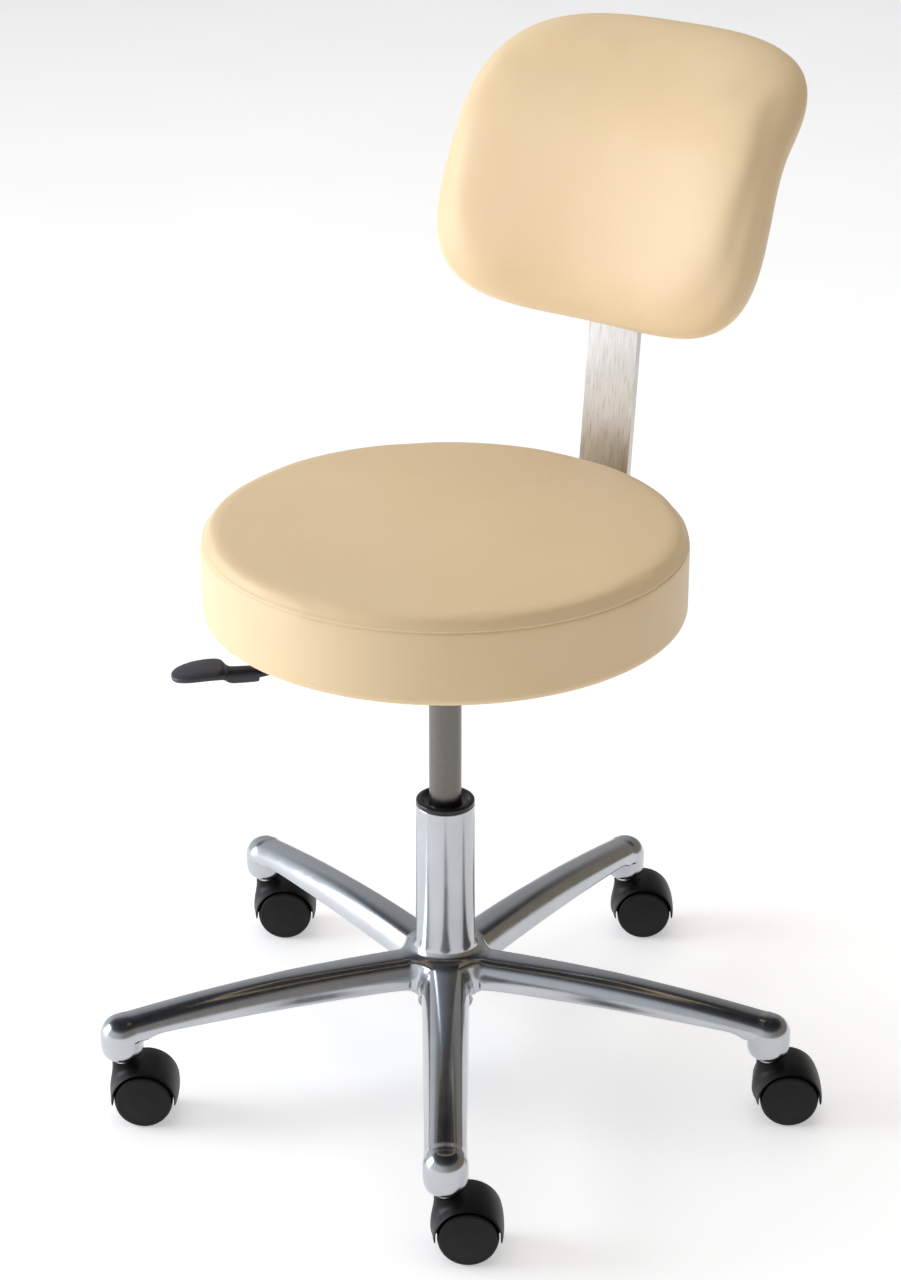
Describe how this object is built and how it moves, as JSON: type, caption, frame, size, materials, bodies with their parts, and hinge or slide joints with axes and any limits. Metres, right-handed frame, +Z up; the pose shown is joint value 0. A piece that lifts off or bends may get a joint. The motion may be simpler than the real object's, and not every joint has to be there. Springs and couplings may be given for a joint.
{
  "type": "dentist stool",
  "caption": "Height-adjustable clinic stool: round padded seat, wrapped backrest on a flat steel bar, gas lift with lever, star base on hooded twin-wheel casters.",
  "frame": {"origin": "on the floor, on the axis of the column", "axes": "+Z up along the column; the seat faces -Y and the backrest stands at +Y"},
  "size_m": [0.6293, 0.6204, 0.8801],
  "materials": {
    "polished_aluminium": "mirror-polished casting",
    "bushing_plastic": "glossy moulded plastic",
    "zinc_steel": "zinc plated",
    "gas_tube_steel": "satin ground steel",
    "bar_steel": "brushed along its length",
    "black_steel": "black satin paint",
    "caster_nylon": "fine textured moulding",
    "lever_plastic": "fine textured moulding",
    "knob_plastic": "fine textured moulding",
    "vinyl": "smooth semi-matte upholstery vinyl",
    "foam": "open-cell polyurethane",
    "plywood": "plywood, stained black",
    "buffer_rubber": "moulded rubber"
  },
  "bodies": {
    "base": {"base_casting": "polished_aluminium", "column_bushing": "bushing_plastic", "lower_bearing_washer": "zinc_steel", "thrust_bearing": "zinc_steel", "caster_stems": "zinc_steel", "caster_grip_rings": "zinc_steel"},
    "lift_rod": {"upper_bearing_washer": "zinc_steel", "rubber_bumper": "buffer_rubber", "piston_rod": "zinc_steel", "piston": "bushing_plastic", "retaining_clip": "zinc_steel"},
    "seat": {"gas_cylinder": "gas_tube_steel", "cylinder_end_guide": "bushing_plastic", "seat_mount_plate": "black_steel", "lever_bracket": "black_steel", "cone_socket": "black_steel", "lever_pivot_pin": "zinc_steel", "seat_board": "plywood", "seat_foam": "foam", "seat_cover": "vinyl", "seat_staples": "zinc_steel", "plate_screws": "zinc_steel", "seat_t_nuts": "zinc_steel", "bar_channel": "black_steel", "channel_screws": "zinc_steel"},
    "valve_pin": {"valve_pin": "zinc_steel"},
    "height_lever": {"lever_rod": "black_steel", "lever_paddle": "lever_plastic"},
    "back_bar": {"back_bar": "bar_steel"},
    "depth_knob": {"depth_knob": "knob_plastic", "depth_knob_stud": "zinc_steel"},
    "backrest": {"backrest_cover": "vinyl", "backrest_foam": "foam", "backrest_board": "plywood", "backrest_bracket": "black_steel", "backrest_screws": "zinc_steel", "backrest_t_nuts": "zinc_steel"},
    "height_knob": {"height_knob": "knob_plastic", "height_knob_stud": "zinc_steel"},
    "caster_1": {"caster_hood_1": "caster_nylon", "caster_axle_1": "zinc_steel"},
    "wheel_left_1": {"wheel_left_1": "caster_nylon"},
    "wheel_right_1": {"wheel_right_1": "caster_nylon"},
    "caster_2": {"caster_hood_2": "caster_nylon", "caster_axle_2": "zinc_steel"},
    "wheel_left_2": {"wheel_left_2": "caster_nylon"},
    "wheel_right_2": {"wheel_right_2": "caster_nylon"},
    "caster_3": {"caster_hood_3": "caster_nylon", "caster_axle_3": "zinc_steel"},
    "wheel_left_3": {"wheel_left_3": "caster_nylon"},
    "wheel_right_3": {"wheel_right_3": "caster_nylon"},
    "caster_4": {"caster_hood_4": "caster_nylon", "caster_axle_4": "zinc_steel"},
    "wheel_left_4": {"wheel_left_4": "caster_nylon"},
    "wheel_right_4": {"wheel_right_4": "caster_nylon"},
    "caster_5": {"caster_hood_5": "caster_nylon", "caster_axle_5": "zinc_steel"},
    "wheel_left_5": {"wheel_left_5": "caster_nylon"},
    "wheel_right_5": {"wheel_right_5": "caster_nylon"}
  },
  "joints": [
    {"name": "seat_swivel", "type": "hinge", "parent": "base", "child": "lift_rod", "pos_m": [0, 0, 0.07], "axis": [0, 0, 1], "continuous": true},
    {"name": "seat_height", "type": "slide", "parent": "lift_rod", "child": "seat", "axis": [0, 0, 1], "range_m": [-0.08, 0.037]},
    {"name": "lever_lift", "type": "hinge", "parent": "seat", "child": "height_lever", "pos_m": [-0.02546, -0.02546, 0.4124], "axis": [-0.7071, 0.7071, 0], "range_deg": [0, 5], "stiffness_Nm_per_rad": 12, "springref_deg": -2.86},
    {"name": "valve_press", "type": "slide", "parent": "seat", "child": "valve_pin", "axis": [0, 0, -1], "range_m": [0, 0.0032]},
    {"name": "backrest_depth", "type": "slide", "parent": "seat", "child": "back_bar", "axis": [0, 1, 0], "range_m": [-0.025, 0.025]},
    {"name": "depth_knob_turn", "type": "hinge", "parent": "seat", "child": "depth_knob", "pos_m": [0, 0.124, 0.42], "axis": [0, 0, 1], "continuous": true},
    {"name": "backrest_height", "type": "slide", "parent": "back_bar", "child": "backrest", "axis": [0, 0.342, 0.9397], "range_m": [-0.025, 0.025]},
    {"name": "height_knob_turn", "type": "hinge", "parent": "backrest", "child": "height_knob", "pos_m": [0, 0.25924, 0.6918], "axis": [0, 0.9397, -0.342], "continuous": true},
    {"name": "caster_swivel_1", "type": "hinge", "parent": "base", "child": "caster_1", "pos_m": [0.17163, -0.23623, 0.05], "axis": [0, 0, 1], "continuous": true},
    {"name": "wheel_left_spin_1", "type": "hinge", "parent": "caster_1", "child": "wheel_left_1", "pos_m": [0.1862, -0.22565, 0.025], "axis": [-0.5878, 0.809, 0], "continuous": true},
    {"name": "wheel_right_spin_1", "type": "hinge", "parent": "caster_1", "child": "wheel_right_1", "pos_m": [0.1862, -0.22565, 0.025], "axis": [-0.5878, 0.809, 0], "continuous": true},
    {"name": "caster_swivel_2", "type": "hinge", "parent": "base", "child": "caster_2", "pos_m": [0.27771, 0.09023, 0.05], "axis": [0, 0, 1], "continuous": true},
    {"name": "wheel_left_spin_2", "type": "hinge", "parent": "caster_2", "child": "wheel_left_2", "pos_m": [0.29227, 0.10081, 0.025], "axis": [-0.5878, 0.809, 0], "continuous": true},
    {"name": "wheel_right_spin_2", "type": "hinge", "parent": "caster_2", "child": "wheel_right_2", "pos_m": [0.29227, 0.10081, 0.025], "axis": [-0.5878, 0.809, 0], "continuous": true},
    {"name": "caster_swivel_3", "type": "hinge", "parent": "base", "child": "caster_3", "pos_m": [0, 0.292, 0.05], "axis": [0, 0, 1], "continuous": true},
    {"name": "wheel_left_spin_3", "type": "hinge", "parent": "caster_3", "child": "wheel_left_3", "pos_m": [0.01456, 0.30258, 0.025], "axis": [-0.5878, 0.809, 0], "continuous": true},
    {"name": "wheel_right_spin_3", "type": "hinge", "parent": "caster_3", "child": "wheel_right_3", "pos_m": [0.01456, 0.30258, 0.025], "axis": [-0.5878, 0.809, 0], "continuous": true},
    {"name": "caster_swivel_4", "type": "hinge", "parent": "base", "child": "caster_4", "pos_m": [-0.27771, 0.09023, 0.05], "axis": [0, 0, 1], "continuous": true},
    {"name": "wheel_left_spin_4", "type": "hinge", "parent": "caster_4", "child": "wheel_left_4", "pos_m": [-0.26315, 0.10081, 0.025], "axis": [-0.5878, 0.809, 0], "continuous": true},
    {"name": "wheel_right_spin_4", "type": "hinge", "parent": "caster_4", "child": "wheel_right_4", "pos_m": [-0.26315, 0.10081, 0.025], "axis": [-0.5878, 0.809, 0], "continuous": true},
    {"name": "caster_swivel_5", "type": "hinge", "parent": "base", "child": "caster_5", "pos_m": [-0.17163, -0.23623, 0.05], "axis": [0, 0, 1], "continuous": true},
    {"name": "wheel_left_spin_5", "type": "hinge", "parent": "caster_5", "child": "wheel_left_5", "pos_m": [-0.15707, -0.22565, 0.025], "axis": [-0.5878, 0.809, 0], "continuous": true},
    {"name": "wheel_right_spin_5", "type": "hinge", "parent": "caster_5", "child": "wheel_right_5", "pos_m": [-0.15707, -0.22565, 0.025], "axis": [-0.5878, 0.809, 0], "continuous": true}
  ],
  "couplings": [
    {"joint": "valve_press", "follows": "lever_lift", "m_per_rad": 0.036}
  ]
}
